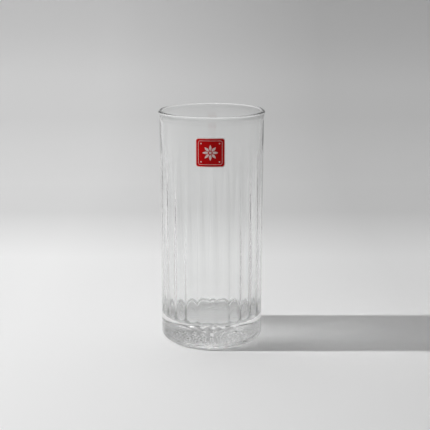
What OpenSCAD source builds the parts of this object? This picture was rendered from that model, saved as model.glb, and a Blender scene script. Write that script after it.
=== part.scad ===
// Straight highball tumbler in clear pressed glass, with flutes on the inside of its wall
// and a small square label on the front. It stands on z = 0, and the label faces -Y.

/* [Tumbler] */
// Overall height
height = 144; // [132:1:160]
// Outer diameter of the straight wall
body_d = 63.6; // [61:0.2:68]
// Thickness of the solid base
base_t = 14; // [12:0.2:20]
// Radius of the rounded heel
heel_r = 3.2; // [2.8:0.1:3.8]

/* [Lip] */
// Thickness of the rounded lip
lip_t = 2.2; // [2:0.1:2.8]
// How far the lip stands out beyond the straight wall
lip_flare = 0.7; // [0.5:0.05:1]
// Height over which the wall flares
flare_h = 6; // [5:0.5:9]

/* [Inside] */
// Thickness of the smooth wall just above the flutes
upper_wall = 2.4; // [2.2:0.05:2.6]
// Thickness of the wall at the foot of the plain cone that the flutes are cut from
ridge_wall = 3.7; // [3.5:0.05:4.2]
// Radius of the corner between the floor and that cone
corner_r = 6; // [5.6:0.1:7]

/* [Flutes] */
// Number of flutes round the inside
flute_count = 24; // [20:1:26]
// Radius of a flute's hollow
flute_r = 4.6; // [4.4:0.1:6]
// Least wall behind a flute
flute_wall = 2.3; // [2.1:0.05:2.35]
// Draft of a flute, from its top to its foot
flute_draft = 0.3; // [0.2:0.05:0.6]
// Height of the smooth band above the flutes, up to the lip
band_h = 31; // [24:1:50]
// Turn of the first flute away from the front, in degrees
flute_turn = 10; // [0:0.1:15]
// Radius of the corner at a flute's foot
flute_corner_r = 5; // [4:0.1:5.4]
// Height above the floor at which the flutes' round feet start
flute_lift = 0.2; // [0.1:0.05:0.5]

/* [Foot] */
// Diameter of the hollow under the foot
hollow_d = 38; // [36:0.5:39.5]
// Depth of the hollow at its edge
hollow_depth = 0.8; // [0.75:0.05:1.4]
// Extra depth of the hollow at its centre
hollow_rise = 0.3; // [0.2:0.05:0.8]
// Distance between the notches where the heel's round starts
notch_pitch = 2.5; // [2.4:0.05:2.6]
// Radius of a notch
notch_r = 1.5; // [1.45:0.05:1.7]
// Slope of a notch, rising outwards, in degrees
notch_slope = 7.2; // [5.5:0.1:9]
// Width of the plain ring between the hollow and the notches
foot_ring_w = 1.5; // [1.2:0.1:2.5]
// Depth of a notch's upper side below the table, at its inner end
notch_start_depth = 0.07; // [0.05:0.01:0.15]

/* [Drops under the foot] */
// Radius of a drop's round face
drop_r = 1.6; // [1.3:0.1:1.8]
// How far a drop stands down from the hollow's ceiling
drop_h = 0.5; // [0.35:0.05:0.6]
// Distance between rings of drops, and between the drops of a ring
drop_pitch = 3.4; // [3:0.1:3.5]

/* [Label] */
// Width of the label along the wall
label_w = 17.4; // [12:0.2:24]
// Height of the label
label_h = 17.2; // [12:0.2:20]
// Distance from the lip down to the label's upper edge
label_drop = 12.1; // [8:0.1:60]
// Turn of the label away from the front, in degrees
label_turn = -1.5; // [-20:0.1:20]
// Radius of the label's corners
label_corner_r = 1.8; // [0.5:0.1:3]
// Thickness of the label
label_t = 0.15; // [0.1:0.05:0.3]
// Film of adhesive between the label and the glass
label_film = 0.1; // [0.05:0.01:0.15]

/* [Hidden] */

// Facets of a full turn, and of a small round
turn_fn = 180;
small_fn = 48;
// Overrun of a cut past the face that it leaves
cut = 1;

body_r = body_d / 2;
lip_r = body_r + lip_flare;
lip_round_r = lip_t / 2;
lip_z = height - lip_round_r;

// The flare is an arc that leaves the straight wall upright and meets the lip's round smoothly
flare_z = height - flare_h;
flare_rise = lip_z - flare_z;
flare_reach = (lip_flare * lip_flare + flare_rise * flare_rise) / (2 * lip_flare);
flare_r = flare_reach - lip_round_r;
flare_end_x = lip_r - lip_round_r + lip_round_r * (flare_reach - lip_flare) / flare_reach;
flare_end_z = lip_z - lip_round_r * flare_rise / flare_reach;

flute_top = height - band_h;

cone_low_r = body_r - ridge_wall;
cone_top_r = body_r - upper_wall;
mouth_r = lip_r - lip_t;

valley_top_r = body_r - flute_wall;
valley_low_r = valley_top_r - flute_draft;
flute_foot_z = base_t + flute_lift;

hollow_r = hollow_d / 2;
hollow_ceiling_r = (hollow_r * hollow_r + hollow_rise * hollow_rise) / (2 * hollow_rise);
notch_start_r = hollow_r + foot_ring_w;
notch_length = 2 * (body_r - notch_start_r);
notch_count = round(2 * PI * (body_r - heel_r) / notch_pitch);

// Reach of a drop where it meets the ceiling, and the rings of drops that fit in the hollow
drop_reach = sqrt(drop_h * (2 * drop_r - drop_h));
drop_rings = floor((hollow_r - drop_reach) / drop_pitch);

label_z = height - label_drop - label_h;
label_low_r = body_r + label_film;

// A flat label of this width bends round the wall, so it looks a little narrower from the front
label_span = 2 * body_r * sin(label_w / body_r * 90 / PI);

// Region inside a round of the wall: a cone with a rounded bottom corner, for one revolve
module cavity_profile(low_r, top_r, bottom_z, top_z, round_r) {
    translate([0, bottom_z]) square([low_r - round_r, round_r]);
    translate([low_r - round_r, bottom_z + round_r]) circle(r = round_r, $fn = small_fn);
    polygon([
        [0, bottom_z + round_r],
        [low_r, bottom_z + round_r],
        [top_r, top_z],
        [0, top_z]
    ]);
}

// Outside of the glass from the heel to the lip
module outer_profile() {
    square([body_r - heel_r, heel_r]);
    translate([body_r - heel_r, heel_r]) circle(r = heel_r, $fn = small_fn);
    translate([0, heel_r]) square([body_r, flare_end_z - heel_r]);
    difference() {
        translate([0, flare_z]) square([flare_end_x, flare_end_z - flare_z]);
        translate([body_r + flare_r, flare_z]) circle(r = flare_r, $fn = turn_fn);
    }
    polygon([
        [0, flare_end_z],
        [flare_end_x, flare_end_z],
        [lip_r - lip_round_r, lip_z],
        [0, lip_z]
    ]);
    translate([lip_r - lip_round_r, lip_z]) circle(r = lip_round_r, $fn = small_fn);
}

// Plain cone of the cavity, and the smooth band above it up to the mouth
module bore_profile() {
    cavity_profile(cone_low_r, cone_top_r, base_t, flute_top, corner_r);
    polygon([
        [0, flute_top],
        [cone_top_r, flute_top],
        [mouth_r, lip_z],
        [mouth_r, height + cut],
        [0, height + cut]
    ]);
}

module plain_glass() {
    rotate_extrude($fn = turn_fn) difference() {
        outer_profile();
        bore_profile();
    }
}

// The flutes are round hollows, held inside a revolve that gives them their draft and their feet
module flutes() {
    intersection() {
        rotate_extrude($fn = turn_fn)
            cavity_profile(valley_low_r, valley_top_r, flute_foot_z, lip_z, flute_corner_r);
        for (i = [0 : flute_count - 1])
            rotate([0, 0, flute_turn - 90 + i * 360 / flute_count])
                translate([valley_top_r - flute_r, 0, base_t])
                    cylinder(r = flute_r, h = height - base_t, $fn = turn_fn);
    }
}

module foot_notches() {
    for (i = [0 : notch_count - 1])
        rotate([0, 0, flute_turn - 90 + i * 360 / notch_count])
            translate([notch_start_r, 0, -notch_r - notch_start_depth])
                rotate([0, 90 - notch_slope, 0])
                    cylinder(r = notch_r, h = notch_length, $fn = small_fn);
}

// A plain hollow with a slightly domed ceiling
module foot_hollow() {
    translate([0, 0, -cut]) cylinder(r = hollow_r, h = cut + hollow_depth, $fn = turn_fn);
    intersection() {
        translate([0, 0, hollow_depth + hollow_rise - hollow_ceiling_r])
            sphere(r = hollow_ceiling_r, $fn = turn_fn);
        cylinder(r = hollow_r, h = hollow_depth + hollow_rise, $fn = turn_fn);
    }
}

module foot_drops() {
    for (ring = [1 : drop_rings]) {
        ring_r = ring * drop_pitch;
        ring_count = floor(2 * PI * ring_r / drop_pitch);
        for (i = [0 : ring_count - 1])
            rotate([0, 0, (i + ring / 2) * 360 / ring_count])
                translate([ring_r, 0, hollow_depth - drop_h + drop_r])
                    sphere(r = drop_r, $fn = small_fn);
    }
}

module tumbler() {
    color([0.86, 0.9, 0.9, 0.4])
    union() {
        difference() {
            plain_glass();
            flutes();
            foot_notches();
            foot_hollow();
        }
        foot_drops();
    }
}

module rounded_plate(w, h, r) {
    translate([-w / 2, r]) square([w, h - 2 * r]);
    translate([r - w / 2, 0]) square([w - 2 * r, h]);
    for (x = [r - w / 2, w / 2 - r])
        for (z = [r, h - r])
            translate([x, z]) circle(r = r, $fn = small_fn);
}

module label() {
    color([0.59, 0.03, 0.05])
    rotate([0, 0, label_turn])
    intersection() {
        translate([0, 0, label_z - cut])
        difference() {
            cylinder(r = label_low_r + label_t, h = label_h + 2 * cut, $fn = turn_fn);
            translate([0, 0, -cut]) cylinder(r = label_low_r, h = label_h + 4 * cut, $fn = turn_fn);
        }
        rotate([90, 0, 0])
            linear_extrude(height = body_d)
                translate([0, label_z])
                    rounded_plate(label_span, label_h, label_corner_r);
    }
}

tumbler();
label();
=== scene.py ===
"""Looks of a straight highball tumbler in clear pressed glass, with a small square label.

The glass is turned from one profile and then shaped: flutes inside the wall, notches round the heel
and drops in the hollow of the foot. All lengths are in metres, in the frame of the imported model.
"""

import math

import bmesh
import bpy
import numpy as np
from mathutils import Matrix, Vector


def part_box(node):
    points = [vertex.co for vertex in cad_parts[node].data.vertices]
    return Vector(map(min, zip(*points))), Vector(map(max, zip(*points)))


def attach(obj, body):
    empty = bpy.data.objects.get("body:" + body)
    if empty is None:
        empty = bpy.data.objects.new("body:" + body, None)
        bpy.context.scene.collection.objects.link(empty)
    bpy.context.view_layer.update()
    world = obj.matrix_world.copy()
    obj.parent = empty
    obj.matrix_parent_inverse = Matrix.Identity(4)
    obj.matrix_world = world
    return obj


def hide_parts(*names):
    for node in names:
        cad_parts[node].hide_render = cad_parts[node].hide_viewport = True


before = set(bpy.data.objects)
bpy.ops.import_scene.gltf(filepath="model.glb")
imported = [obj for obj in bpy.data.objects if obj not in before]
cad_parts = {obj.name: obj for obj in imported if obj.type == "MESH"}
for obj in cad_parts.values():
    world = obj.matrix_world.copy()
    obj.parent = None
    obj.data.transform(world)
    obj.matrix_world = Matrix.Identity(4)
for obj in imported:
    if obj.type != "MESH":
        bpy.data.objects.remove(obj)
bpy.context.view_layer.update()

MM = 0.001
glass_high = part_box("tumbler")[1]
label_low, label_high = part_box("label")

# Outside of the glass
HEIGHT = glass_high.z
LIP_R = glass_high.x
LIP_FLARE = 0.7 * MM
BODY_R = LIP_R - LIP_FLARE
LIP_T = 2.2 * MM
FLARE_H = 6 * MM
HEEL_R = 3.2 * MM

# Inside of the glass
BASE_T = 14 * MM
CORNER_R = 6 * MM
RIDGE_WALL = 3.7 * MM
UPPER_WALL = 2.4 * MM
BAND_H = 31 * MM
BORE_LOW_R = BODY_R - RIDGE_WALL
BORE_TOP_R = BODY_R - UPPER_WALL
BAND_Z = HEIGHT - BAND_H

# Flutes, turned to where the photo shows their lines
FLUTES = 24
FLUTE_TURN = math.radians(2)
FLUTE_DEPTH = 1.5 * MM
FLUTE_CREST_SHARE = 0.5
FLUTE_CORNER_R = 5 * MM
FLUTE_LIFT = 0.2 * MM
FLUTE_WALL = 2.3 * MM
FLUTE_DRAFT = 0.3 * MM
VALLEY_TOP_R = BODY_R - FLUTE_WALL
VALLEY_LOW_R = VALLEY_TOP_R - FLUTE_DRAFT
# How much the crease is rounded where a flute runs out
BLEND = 0.15 * MM

# Foot
HOLLOW_R = 19 * MM
HOLLOW_DEPTH = 0.8 * MM
HOLLOW_RISE = 0.3 * MM
NOTCHES = 72
NOTCH_START_R = 21 * MM
NOTCH_RISE = math.tan(math.radians(7.2))
NOTCH_R = 1.3 * MM
DROP_PITCH = 3.4 * MM
DROP_R = 1.16 * MM
DROP_H = 0.5 * MM

# Label
LABEL_R = -label_low.y
LABEL_Z = (label_low.z + label_high.z) / 2
LABEL_HALF_H = (label_high.z - label_low.z) / 2
LABEL_HALF_W = 8.7 * MM
LABEL_TURN = math.radians(-1.5)
LABEL_CORNER_R = 1.8 * MM
# Where the label's pale cut edge starts and is full, outwards from its outline
CUT_EDGE = (-0.5 * MM, -0.34 * MM)

# Foil stamping on the label
FOIL_LIFT = 0.01 * MM
FOIL_T = 0.03 * MM
LINE_HALF = 7.1 * MM
LINE_W = 0.2 * MM
LINE_CORNER_R = 1.2 * MM
DOT_R = 0.42 * MM
DOT_AT = 5.4 * MM
PETALS = 8
PETAL_START = 1.1 * MM
PETAL_END = 4.7 * MM
PETAL_W = 1.5 * MM
# Below 1, a petal is widest nearer to its root
PETAL_FULLNESS = 0.8
ROSETTE_CENTRE_R = 0.75 * MM

# Mesh steps across one flute, and along each stretch of the glass's profile in its order
SECTOR_STEPS = 24
HOLLOW_STEPS = 34
HOLLOW_EDGE_STEPS = 5
FOOT_STEPS = 24
HEEL_STEPS = 16
WALL_STEPS = 5
FLARE_STEPS = 8
LIP_STEPS = 14
BAND_STEPS = 10
BORE_STEPS = 32
CORNER_STEPS = 18
FLOOR_STEPS = 6
# Mesh steps of the foil: a petal's side, the rosette's centre, a dot, the line's corner and its side
PETAL_STEPS = 10
CENTRE_STEPS = 20
DOT_STEPS = 14
LINE_CORNER_STEPS = 6
LINE_SIDE_CUTS = 15
# Edges longer than this are the sides of the frame line
LONG_EDGE = 3 * MM
# Gap that merging closes, slack when places are compared, and the reach of points on the axis
MERGE = 0.0005 * MM
SLACK = 0.001 * MM
AXIS_R = 0.01 * MM
# A radius inside the wall's glass, which parts the cavity's points from the outside's
MID_WALL_R = BODY_R - 1.8 * MM

# Glass: its colour in the wall and at the foot's underside, and where one passes into the other.
# A colour is linear shares of red, green and blue, and a 1. A noise is its scale and its detail.
GLASS_IOR = 1.5
CLEAR = (0.972, 0.976, 0.974, 1)
CLEAR_FOOT = (0.985, 0.990, 0.988, 1)
FOOT_RAMP = (1.2 * MM, 2.0 * MM)
# Depth of the waves from the mould and of the underside's grain
RIPPLE_NOISE = (110, 1)
RIPPLE = 0.001 * MM
STIPPLE_NOISE = (900, 1)
STIPPLE = 0.09 * MM

# Mottle of the label's film and foil: its detail, and for each its scale and the range it takes up
MOTTLE_DETAIL = 3
FILM_MOTTLE = {"Scale": 260, "Low": 0.3, "High": 0.7}
FOIL_MOTTLE = {"Scale": 900, "Low": 0.35, "High": 0.75}
# Film, with its colours in steps from 0 to 255
FILM_DARK = (188, 0, 4)
FILM_LIGHT = (208, 2, 7)
FILM_EDGE = (240, 212, 208)
FILM_ROUGHNESS = (0.3, 0.42)
FILM_SHINE = 0.08
FILM_GRAIN_NOISE = (2600, 2)
FILM_GRAIN_STRENGTH = 0.4
# Foil
FOIL_FRESH = (244, 226, 222)
FOIL_RUBBED = (222, 178, 176)
FOIL_ROUGHNESS = (0.32, 0.5)
FOIL_GRAIN_STRENGTH = 0.3
GRAIN = 0.01 * MM

# Sheet of paper that makes the table and the backdrop
FLOOR_GAP = 0.1 * MM
TABLE_END = 0.20
WALL_Y = 0.70
SWEEP_R = 0.25
SHEET_W = 6.0
SHEET_FRONT = -3.0
SWEEP_STEPS = 24
WALL_H = 2.5
# How light the paper is, and what share of that is left at the right and behind the glass: painted
# shade, for the side lamp's light falling off to the right and for the shade low on the backdrop
PAPER = 0.87
PAPER_ROUGHNESS = 0.9
RIGHT_PAINTED_SHADE = 0.75
BACK_PAINTED_SHADE = 0.77
# Where these shares set in, and the heights between which the backdrop gets pale again
RIGHT_RAMP = (-0.13, 0.14)
BACK_RAMP = (TABLE_END - 0.03, TABLE_END + 0.12)
RISE_RAMP = (0.05, 0.19)

# Far lamp on the left, and the share of its light that passes the glass
KEY_AIM = Vector((1.5, 0, -0.97))
KEY_SPREAD = 0.033
KEY_POWER = 3.35
THROUGH = 0.11
# Light from the front that fills the backdrop alone
FILL_AIM = Vector((0, 1, 0))
FILL_POWER = 0.35
# Wide soft lamp overhead
TOP_PLACE = Vector((-0.2, 0.1, 1.6))
TOP_SIZE = 1.2
TOP_POWER = 5.8
# Light that the glass gathers on the table: its place to the right, reach, softness and power
GATHER_H = 0.5
GATHER_LAMP_R = 0.01
GATHER_BEHIND = (0.042, 0.015, 1.0, 0.7)
GATHER_UNDER = (0.0, 0.0305, 0.2, 1.5)
# Room: its light on the scene, and how pale it looks
ROOM_LIGHT = 0.08
ROOM_PALE = 0.45

# Times that light may bend or bounce in the glass
BOUNCES = 24
GLOSSY_BOUNCES = 12

# Camera, fitted to the photo's rim, base and outline; its lens and shift are in the photo's pixels
SENSOR_W = 36
PHOTO_W = 430
FOCAL_PX = 962.92
SHIFT_PX = 3.303
CAMERA_PLACE = (0, -0.583451, 0.225685)
CAMERA_DIP = 0.248


def arc_points(centre, radius, start, end, steps):
    """Points on an arc in the profile's plane, with angles in degrees, without its first point."""
    angles = [math.radians(start + (end - start) * i / steps) for i in range(1, steps + 1)]
    return [(centre[0] + radius * math.cos(a), centre[1] + radius * math.sin(a)) for a in angles]


def line_points(start, end, steps):
    """Evenly spaced points on a straight stretch, without its first point."""
    return [
        (start[0] + (end[0] - start[0]) * i / steps, start[1] + (end[1] - start[1]) * i / steps)
        for i in range(1, steps + 1)
    ]


def glass_profile():
    """Half section of the glass: from the hollow's centre, round the outside, to the floor's."""
    lip_round = LIP_T / 2
    lip_z = HEIGHT - lip_round
    flare_z = HEIGHT - FLARE_H
    rise = lip_z - flare_z
    reach = (LIP_FLARE ** 2 + rise ** 2) / (2 * LIP_FLARE)
    flare_r = reach - lip_round
    lean = math.degrees(math.asin(rise / reach))
    mouth_r = LIP_R - LIP_T
    corner_x = BORE_LOW_R - CORNER_R
    corner_z = BASE_T + CORNER_R
    heel_x = BODY_R - HEEL_R

    points = [(0, HOLLOW_DEPTH)]
    points += line_points((0, HOLLOW_DEPTH), (HOLLOW_R, HOLLOW_DEPTH), HOLLOW_STEPS)
    points += arc_points((HOLLOW_R, 0), HOLLOW_DEPTH, 90, 0, HOLLOW_EDGE_STEPS)
    points += line_points((HOLLOW_R + HOLLOW_DEPTH, 0), (heel_x, 0), FOOT_STEPS)
    points += arc_points((heel_x, HEEL_R), HEEL_R, -90, 0, HEEL_STEPS)
    points += line_points((BODY_R, HEEL_R), (BODY_R, flare_z), WALL_STEPS)
    points += arc_points((BODY_R + flare_r, flare_z), flare_r, 180, 180 - lean, FLARE_STEPS)
    points += arc_points((LIP_R - lip_round, lip_z), lip_round, -lean, 180, LIP_STEPS)
    points += line_points((mouth_r, lip_z), (BORE_TOP_R, BAND_Z), BAND_STEPS)
    points += line_points((BORE_TOP_R, BAND_Z), (BORE_LOW_R, corner_z), BORE_STEPS)
    points += arc_points((corner_x, corner_z), CORNER_R, 0, -90, CORNER_STEPS)
    points += line_points((corner_x, BASE_T), (0, BASE_T), FLOOR_STEPS)
    return points


def wave(angle, count):
    """0 at the middle of each of count hollows round the axis, 1 halfway between two of them."""
    turns = (angle + math.pi / 2 - FLUTE_TURN) * count / (2 * math.pi)
    return np.abs(turns - np.round(turns)) * 2


def soft_max(first, second):
    """The larger of two lengths, with the crease between them rounded a little."""
    return (first + second + np.hypot(first - second, BLEND)) / 2


def flute_radius(angle, z):
    """Radius of the flutes: rounded crests and hollows, with a slight draft and a round foot."""
    foot_z = BASE_T + FLUTE_LIFT
    along = (z - foot_z) / (BAND_Z - foot_z)
    across = wave(angle, FLUTES)
    crest = FLUTE_CREST_SHARE
    rounded = (1 - crest) - (1 - crest) / crest * (1 - across) ** 2
    shape = np.where(across > 1 - crest, rounded, across ** 2)
    valley = VALLEY_LOW_R + (VALLEY_TOP_R - VALLEY_LOW_R) * np.clip(along, 0, 1)
    below = np.clip(foot_z + FLUTE_CORNER_R - z, 0, FLUTE_CORNER_R)
    corner = FLUTE_CORNER_R - np.sqrt(FLUTE_CORNER_R ** 2 - below ** 2)
    return valley - corner - FLUTE_DEPTH * shape


def drop_height(x, y):
    """Height of the round drops that stand down in rings in the hollow of the foot."""
    radius = np.hypot(x, y)
    ring = np.maximum(np.round(radius / DROP_PITCH), 1)
    count = np.floor(2 * math.pi * ring)
    step = 2 * math.pi / count
    offset = ring / 2 * step
    nearest = offset + np.round((np.arctan2(y, x) - offset) / step) * step
    ring_r = ring * DROP_PITCH
    reach = np.hypot(x - ring_r * np.cos(nearest), y - ring_r * np.sin(nearest))
    inside = ring_r + DROP_PITCH / 2 < HOLLOW_R
    return np.where(inside, DROP_H * np.clip(1 - (reach / DROP_R) ** 2, 0, 1), 0)


def shape_cavity(radius, angle, z):
    """Moves the points of the bore out into the flutes, which run out into it at both ends."""
    fluted = soft_max(radius, flute_radius(angle, z))
    return np.where(z > BASE_T + FLUTE_LIFT, fluted, radius), z


def shape_heel(radius, angle, z):
    """Lifts the foot and the heel into shallow round notches that rise outwards."""
    aside = radius * wave(angle, NOTCHES) * math.pi / NOTCHES
    ceiling = (radius - NOTCH_START_R) * NOTCH_RISE - aside ** 2 / (2 * NOTCH_R)
    return radius, np.maximum(z, ceiling)


def shape_hollow(radius, angle, z):
    """Domes the hollow's ceiling and hangs the drops from it."""
    dome = HOLLOW_RISE * (1 - (radius / HOLLOW_R) ** 2)
    return radius, z + dome - drop_height(radius * np.cos(angle), radius * np.sin(angle))


def turned_glass():
    """One flute's sector is turned from the profile, repeated round the axis and then shaped."""
    bm = bmesh.new()
    points = [bm.verts.new((r, 0, z)) for r, z in glass_profile()]
    edges = [bm.edges.new(pair) for pair in zip(points, points[1:])]
    sector = 2 * math.pi / FLUTES
    turn = {"cent": (0, 0, 0), "axis": (0, 0, 1), "dvec": (0, 0, 0), "use_merge": False}
    bmesh.ops.spin(bm, geom=points + edges, angle=sector, steps=SECTOR_STEPS, **turn)
    whole = bm.verts[:] + bm.edges[:] + bm.faces[:]
    others = FLUTES - 1
    bmesh.ops.spin(bm, geom=whole, angle=sector * others, steps=others, use_duplicate=True, **turn)
    bmesh.ops.remove_doubles(bm, verts=bm.verts, dist=MERGE)
    mesh = finished_mesh("glass_body", bm)
    shape_glass(mesh)
    mesh.shade_smooth()
    return new_piece("glass_body", mesh, clear_glass())


def shape_glass(mesh):
    """Gives each region of the turned mesh its own form."""
    places = np.empty(len(mesh.vertices) * 3)
    mesh.vertices.foreach_get("co", places)
    x, y, z = places.reshape(-1, 3).T
    radius = np.hypot(x, y)
    angle = np.arctan2(y, x)
    off_axis = radius > AXIS_R
    cavity = (z > BASE_T - SLACK) & (radius < MID_WALL_R) & (z < HEIGHT - LIP_T / 2 - SLACK)
    hollow = (z > HOLLOW_DEPTH - SLACK) & (z < BASE_T / 2) & (radius < HOLLOW_R - SLACK)
    heel = (z < HEEL_R + SLACK) & (radius > HOLLOW_R + HOLLOW_DEPTH / 2)
    for region, shaper in ((cavity, shape_cavity), (hollow, shape_hollow), (heel, shape_heel)):
        new_radius, new_z = shaper(radius, angle, z)
        radius = np.where(region & off_axis, new_radius, radius)
        z = np.where(region, new_z, z)
    shaped = np.stack([radius * np.cos(angle), radius * np.sin(angle), z], 1)
    mesh.vertices.foreach_set("co", shaped.ravel())
    mesh.update()


def finished_mesh(name, bm):
    """The mesh of a bmesh, with its normals outward."""
    bmesh.ops.recalc_face_normals(bm, faces=bm.faces)
    mesh = bpy.data.meshes.new(name)
    bm.to_mesh(mesh)
    bm.free()
    return mesh


def new_object(name, data):
    """An object in the scene that shows a mesh, a lamp or a camera."""
    thing = bpy.data.objects.new(name, data)
    bpy.context.scene.collection.objects.link(thing)
    return thing


def new_piece(name, mesh, material):
    """A piece of the glass or its label, in one material."""
    piece = new_object(name, mesh)
    mesh.materials.append(material)
    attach(piece, "root")
    return piece


def linear(colour):
    """A screen colour, in steps from 0 to 255, as linear shares and a 1."""
    shares = [step / 255 for step in colour]
    return (*(s / 12.92 if s <= 0.04045 else ((s + 0.055) / 1.055) ** 2.4 for s in shares), 1)


def new_material(name):
    """A material with its node tree, its surface shader and the object's own coordinates."""
    material = bpy.data.materials.new(name)
    material.use_nodes = True
    tree = material.node_tree
    place = tree.nodes.new("ShaderNodeTexCoord")
    return material, tree, tree.nodes["Principled BSDF"], place.outputs["Object"]


def feed(tree, node, inputs):
    """Gives each of a node's named or numbered inputs a number, a colour or a node's output."""
    for name, term in inputs.items():
        if isinstance(term, bpy.types.NodeSocket):
            tree.links.new(term, node.inputs[name])
        else:
            node.inputs[name].default_value = term


def add_node(tree, kind, inputs, output, **settings):
    """The named output of a new shader node."""
    node = tree.nodes.new("ShaderNode" + kind)
    for key, value in settings.items():
        setattr(node, key, value)
    feed(tree, node, inputs)
    return node.outputs[output]


def calculate(tree, operation, *terms):
    """What one operation makes of one or two terms."""
    return add_node(tree, "Math", dict(enumerate(terms)), "Value", operation=operation)


def blend(tree, share, first, second):
    """A colour between two colours."""
    inputs = {"Factor": share, "A": first, "B": second}
    return add_node(tree, "Mix", inputs, "Result", data_type="RGBA")


def noise(tree, place, scale, detail):
    """Soft random shares, with finer steps added for each step of detail."""
    return add_node(tree, "TexNoise", {"Vector": place, "Scale": scale, "Detail": detail}, "Fac")


def spread(tree, value, low, high, to_low, to_high):
    """Carries a value from one range to another, held at both ends."""
    ranges = {"From Min": low, "From Max": high, "To Min": to_low, "To Max": to_high}
    return add_node(tree, "MapRange", {"Value": value, **ranges}, "Result")


def bump(tree, height, strength, distance, **under):
    """A surface direction that tilts with a height, over another direction if Normal gives one."""
    inputs = {"Height": height, "Strength": strength, "Distance": distance, **under}
    return add_node(tree, "Bump", inputs, "Normal")


def split_place(tree, place):
    """The X, Y and Z coordinates of a place."""
    return add_node(tree, "SeparateXYZ", {"Vector": place}, "X").node.outputs


def new_group(name, output, *numbers):
    """A node group that takes the object's coordinates and the named numbers, and gives a number."""
    group = bpy.data.node_groups.new(name, "ShaderNodeTree")
    group.interface.new_socket("Place", in_out="INPUT", socket_type="NodeSocketVector")
    for title in numbers:
        group.interface.new_socket(title, in_out="INPUT", socket_type="NodeSocketFloat")
    group.interface.new_socket(output, in_out="OUTPUT", socket_type="NodeSocketFloat")
    given = group.nodes.new("NodeGroupInput")
    result = group.nodes.new("NodeGroupOutput")
    return group, given.outputs, result


def use_group(tree, group, place, output, **numbers):
    """The named output of a node group, placed in a material with its own numbers."""
    return add_node(tree, "Group", {"Place": place, **numbers}, output, node_tree=group)


def mottle_group():
    """Soft blotches from 0 to 1, which film and foil both have."""
    group, given, result = new_group("mottle", "Share", "Scale", "Low", "High")
    blotches = noise(group, given["Place"], given["Scale"], MOTTLE_DETAIL)
    feed(group, result, {"Share": spread(group, blotches, given["Low"], given["High"], 0.0, 1.0)})
    return group


def foot_mask_group():
    """1 on the pressed underside of the foot, 0 on the fire-polished glass above it."""
    group, given, result = new_group("foot_mask", "Mask")
    z = split_place(group, given["Place"])[2]
    feed(group, result, {"Mask": spread(group, z, *FOOT_RAMP, 1.0, 0.0)})
    return group


def label_edge_group():
    """Distance outwards from the label's rounded outline, along the wall."""
    group, given, result = new_group("label_edge", "Edge")
    x, y, z = split_place(group, given["Place"])
    turn = calculate(group, "ARCTAN2", x, calculate(group, "MULTIPLY", y, -1.0))
    across = calculate(group, "MULTIPLY", calculate(group, "SUBTRACT", turn, LABEL_TURN), LABEL_R)
    up = calculate(group, "SUBTRACT", z, LABEL_Z)
    squares = []
    for distance, half in ((across, LABEL_HALF_W), (up, LABEL_HALF_H)):
        side = calculate(group, "ABSOLUTE", distance)
        past = calculate(group, "SUBTRACT", side, half - LABEL_CORNER_R)
        past = calculate(group, "MAXIMUM", past, 0.0)
        squares.append(calculate(group, "MULTIPLY", past, past))
    reach = calculate(group, "SQRT", calculate(group, "ADD", *squares))
    feed(group, result, {"Edge": calculate(group, "SUBTRACT", reach, LABEL_CORNER_R)})
    return group


def clear_glass():
    """Clear glass, slightly wavy from the mould, finely stippled under the foot."""
    material, tree, shader, place = new_material("clear_pressed_glass")
    mask = use_group(tree, foot_mask_group(), place, "Mask")
    ripple = bump(tree, noise(tree, place, *RIPPLE_NOISE), 1.0, RIPPLE)
    stipple = calculate(tree, "MULTIPLY", mask, noise(tree, place, *STIPPLE_NOISE))
    feed(tree, shader, {
        "Base Color": blend(tree, mask, CLEAR, CLEAR_FOOT),
        "IOR": GLASS_IOR,
        "Transmission Weight": 1.0,
        "Roughness": 0.0,
        "Normal": bump(tree, stipple, 1.0, STIPPLE, Normal=ripple),
    })
    return material


def red_film(mottle):
    """Satin red film with a pale cut edge, a soft mottle and a fine grain."""
    material, tree, shader, place = new_material("red_film")
    share = use_group(tree, mottle, place, "Share", **FILM_MOTTLE)
    field = blend(tree, share, linear(FILM_DARK), linear(FILM_LIGHT))
    edge = use_group(tree, label_edge_group(), place, "Edge")
    edge = spread(tree, edge, *CUT_EDGE, 0.0, 1.0)
    grain = noise(tree, place, *FILM_GRAIN_NOISE)
    feed(tree, shader, {
        "Base Color": blend(tree, edge, field, linear(FILM_EDGE)),
        "Roughness": spread(tree, share, 0.0, 1.0, *FILM_ROUGHNESS),
        "Specular IOR Level": FILM_SHINE,
        "Normal": bump(tree, grain, FILM_GRAIN_STRENGTH, GRAIN),
    })
    return material


def silver_foil(mottle):
    """Pale foil stamping, a little rubbed."""
    material, tree, shader, place = new_material("silver_foil")
    rubbed = use_group(tree, mottle, place, "Share", **FOIL_MOTTLE)
    feed(tree, shader, {
        "Base Color": blend(tree, rubbed, linear(FOIL_FRESH), linear(FOIL_RUBBED)),
        "Roughness": spread(tree, rubbed, 0.0, 1.0, *FOIL_ROUGHNESS),
        "Normal": bump(tree, rubbed, FOIL_GRAIN_STRENGTH, GRAIN),
    })
    return material


def rounded_square(half, corner, steps):
    """Outline of a square with rounded corners, anticlockwise, about its own centre."""
    inner = half - corner
    outline = []
    for quarter, (x, y) in enumerate(((1, 1), (-1, 1), (-1, -1), (1, -1))):
        for i in range(steps + 1):
            swing = math.radians(90 * quarter + 90 * i / steps)
            across = x * inner + corner * math.cos(swing)
            up = y * inner + corner * math.sin(swing)
            outline.append((across, up))
    return outline


def petal_outline(turn, steps):
    """Outline of one pointed petal of the rosette."""
    length = PETAL_END - PETAL_START
    sides = []
    for side in (1, -1):
        for i in range(steps):
            share = i / steps if side == 1 else 1 - i / steps
            reach = PETAL_START + length * share
            sides.append((reach, side * PETAL_W / 2 * math.sin(math.pi * share ** PETAL_FULLNESS)))
    cos, sin = math.cos(turn), math.sin(turn)
    return [(x * cos - y * sin, x * sin + y * cos) for x, y in sides]


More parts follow.
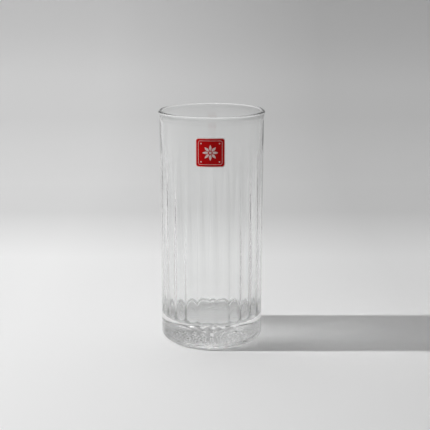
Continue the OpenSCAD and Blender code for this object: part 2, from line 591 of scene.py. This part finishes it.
def round_outline(centre, radius, steps):
    """Outline of a disc."""
    angles = [2 * math.pi * i / steps for i in range(steps)]
    return [(centre[0] + radius * math.cos(a), centre[1] + radius * math.sin(a)) for a in angles]


def foil_print(mottle):
    """The label's stamped pattern: a thin frame line, four dots and an eight-petal rosette."""
    bm = bmesh.new()
    shapes = [petal_outline(2 * math.pi * i / PETALS, PETAL_STEPS) for i in range(PETALS)]
    shapes.append(round_outline((0, 0), ROSETTE_CENTRE_R, CENTRE_STEPS))
    corners = [(x * DOT_AT, y * DOT_AT) for x in (-1, 1) for y in (-1, 1)]
    shapes += [round_outline(corner, DOT_R, DOT_STEPS) for corner in corners]
    for outline in shapes:
        bm.faces.new([bm.verts.new((x, y, 0)) for x, y in outline])
    outside = rounded_square(LINE_HALF, LINE_CORNER_R, LINE_CORNER_STEPS)
    inside = rounded_square(LINE_HALF - LINE_W, LINE_CORNER_R - LINE_W, LINE_CORNER_STEPS)
    outer, inner = ([bm.verts.new((x, y, 0)) for x, y in line] for line in (outside, inside))
    for i in range(len(outer)):
        k = (i + 1) % len(outer)
        bm.faces.new((outer[i], outer[k], inner[k], inner[i]))
    long_edges = [e for e in bm.edges if e.calc_length() > LONG_EDGE]
    bmesh.ops.subdivide_edges(bm, edges=long_edges, cuts=LINE_SIDE_CUTS, use_grid_fill=True)
    raised = bmesh.ops.extrude_face_region(bm, geom=bm.faces[:])
    lifted = [v for v in raised["geom"] if isinstance(v, bmesh.types.BMVert)]
    bmesh.ops.translate(bm, verts=lifted, vec=(0, 0, FOIL_T))
    for v in bm.verts:
        swing = LABEL_TURN + v.co.x / LABEL_R
        out = LABEL_R + FOIL_LIFT + v.co.z
        v.co = (out * math.sin(swing), -out * math.cos(swing), LABEL_Z + v.co.y)
    mesh = finished_mesh("foil_print", bm)
    return new_piece("foil_print", mesh, silver_foil(mottle))


def pale_paper():
    """Matt paper with painted shade: a little greyer to the right, where the side lamp's light falls
    off, and on the low part of the backdrop.
    """
    material, tree, shader, place = new_material("pale_paper")
    x, y, z = split_place(tree, place)
    # Painted shade: the paper darkens to the right, as the side lamp falls off, and on the far table
    # and low backdrop
    right = spread(tree, x, *RIGHT_RAMP, 1.0, RIGHT_PAINTED_SHADE)
    back = spread(tree, y, *BACK_RAMP, 1.0, BACK_PAINTED_SHADE)
    raised = spread(tree, z, *RISE_RAMP, BACK_PAINTED_SHADE, 1.0)
    shade = calculate(tree, "MULTIPLY", right, calculate(tree, "MAXIMUM", back, raised))
    feed(tree, shader, {
        "Base Color": blend(tree, shade, (0, 0, 0, 1), (PAPER, PAPER, PAPER, 1)),
        "Roughness": PAPER_ROUGHNESS,
        "Specular IOR Level": 0.0,
    })
    return material


def paper_sweep():
    """A table and a backdrop in one sheet of paper."""
    bm = bmesh.new()
    route = [(SHEET_FRONT, 0), (WALL_Y - SWEEP_R, 0)]
    route += arc_points((WALL_Y - SWEEP_R, SWEEP_R), SWEEP_R, -90, 0, SWEEP_STEPS)
    route += [(WALL_Y, WALL_H)]
    points = [bm.verts.new((-SHEET_W / 2, y, z - FLOOR_GAP)) for y, z in route]
    edges = [bm.edges.new(pair) for pair in zip(points, points[1:])]
    drawn = bmesh.ops.extrude_edge_only(bm, edges=edges)
    moved = [v for v in drawn["geom"] if isinstance(v, bmesh.types.BMVert)]
    bmesh.ops.translate(bm, verts=moved, vec=(SHEET_W, 0, 0))
    mesh = finished_mesh("paper_sweep", bm)
    mesh.shade_smooth()
    sweep = new_object("paper_sweep", mesh)
    mesh.materials.append(pale_paper())
    return sweep


def new_lamp(name, kind, place, aim, power):
    """A lamp at a place that shines along a direction."""
    lamp = bpy.data.lights.new(name, kind)
    lamp.energy = power
    holder = new_object(name, lamp)
    holder.location = place
    holder.rotation_euler = aim.to_track_quat("-Z", "Y").to_euler()
    return holder


def paper_lamp(name, kind, place, aim, power, paper):
    """A lamp that lights the paper alone and throws no shadow of the glass."""
    holder = new_lamp(name, kind, place, aim, power)
    holder.light_linking.blocker_collection = paper
    holder.light_linking.receiver_collection = paper
    return holder


def gathered_light(name, paper, x, reach, softness, power):
    """Light that the glass gathers on the table, which a render of this length doesn't find."""
    lamp = paper_lamp(name, "SPOT", (x, 0, GATHER_H), Vector((0, 0, -1)), power, paper).data
    lamp.spot_size = 2 * math.atan(reach / GATHER_H)
    lamp.spot_blend = softness
    lamp.shadow_soft_size = GATHER_LAMP_R


def camera():
    """Looks slightly down on the glass from the front, from a little over half a metre away."""
    lens = bpy.data.cameras.new("camera")
    lens.sensor_width = SENSOR_W
    lens.sensor_fit = "HORIZONTAL"
    lens.lens = SENSOR_W * FOCAL_PX / PHOTO_W
    lens.shift_x = SHIFT_PX / PHOTO_W
    holder = new_object("camera", lens)
    holder.location = CAMERA_PLACE
    holder.rotation_euler = (math.pi / 2 - CAMERA_DIP, 0, 0)
    bpy.context.scene.camera = holder


def soft_room():
    """A room that looks pale and lights the scene little."""
    world = bpy.data.worlds.new("soft_room")
    bpy.context.scene.world = world
    world.use_nodes = True
    tree = world.node_tree
    path = tree.nodes.new("ShaderNodeLightPath").outputs
    seen = calculate(tree, "MAXIMUM", path["Is Camera Ray"], path["Is Glossy Ray"])
    seen = calculate(tree, "MAXIMUM", seen, path["Is Transmission Ray"])
    strength = spread(tree, seen, 0.0, 1.0, ROOM_LIGHT, ROOM_PALE)
    feed(tree, tree.nodes["Background"], {"Color": (1, 1, 1, 1), "Strength": strength})


def studio():
    """Paper, lamps and room. Part of the side lamp passes the glass, which keeps its shadow pale."""
    paper = bpy.data.collections.new("table_only")
    paper.objects.link(paper_sweep())
    lamp = new_lamp("side_lamp", "SUN", -KEY_AIM, KEY_AIM, KEY_POWER * (1 - THROUGH))
    passed = new_lamp("side_lamp_through_glass", "SUN", -KEY_AIM, KEY_AIM, KEY_POWER * THROUGH)
    passed.light_linking.blocker_collection = paper
    lamp.data.angle = passed.data.angle = KEY_SPREAD
    new_lamp("overhead_cloth", "AREA", TOP_PLACE, -TOP_PLACE, TOP_POWER).data.size = TOP_SIZE
    paper_lamp("backdrop_fill", "SUN", -FILL_AIM, FILL_AIM, FILL_POWER, paper)
    gathered_light("light_behind", paper, *GATHER_BEHIND)
    gathered_light("light_under_foot", paper, *GATHER_UNDER)
    soft_room()
    scene = bpy.context.scene
    scene.view_settings.view_transform = "Standard"
    scene.cycles.max_bounces = BOUNCES
    scene.cycles.transmission_bounces = BOUNCES
    scene.cycles.glossy_bounces = GLOSSY_BOUNCES


glass = turned_glass()
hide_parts("tumbler")
mottle = mottle_group()
label_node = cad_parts["label"]
label_node.data.materials.clear()
label_node.data.materials.append(red_film(mottle))
foil_print(mottle)
studio()
camera()
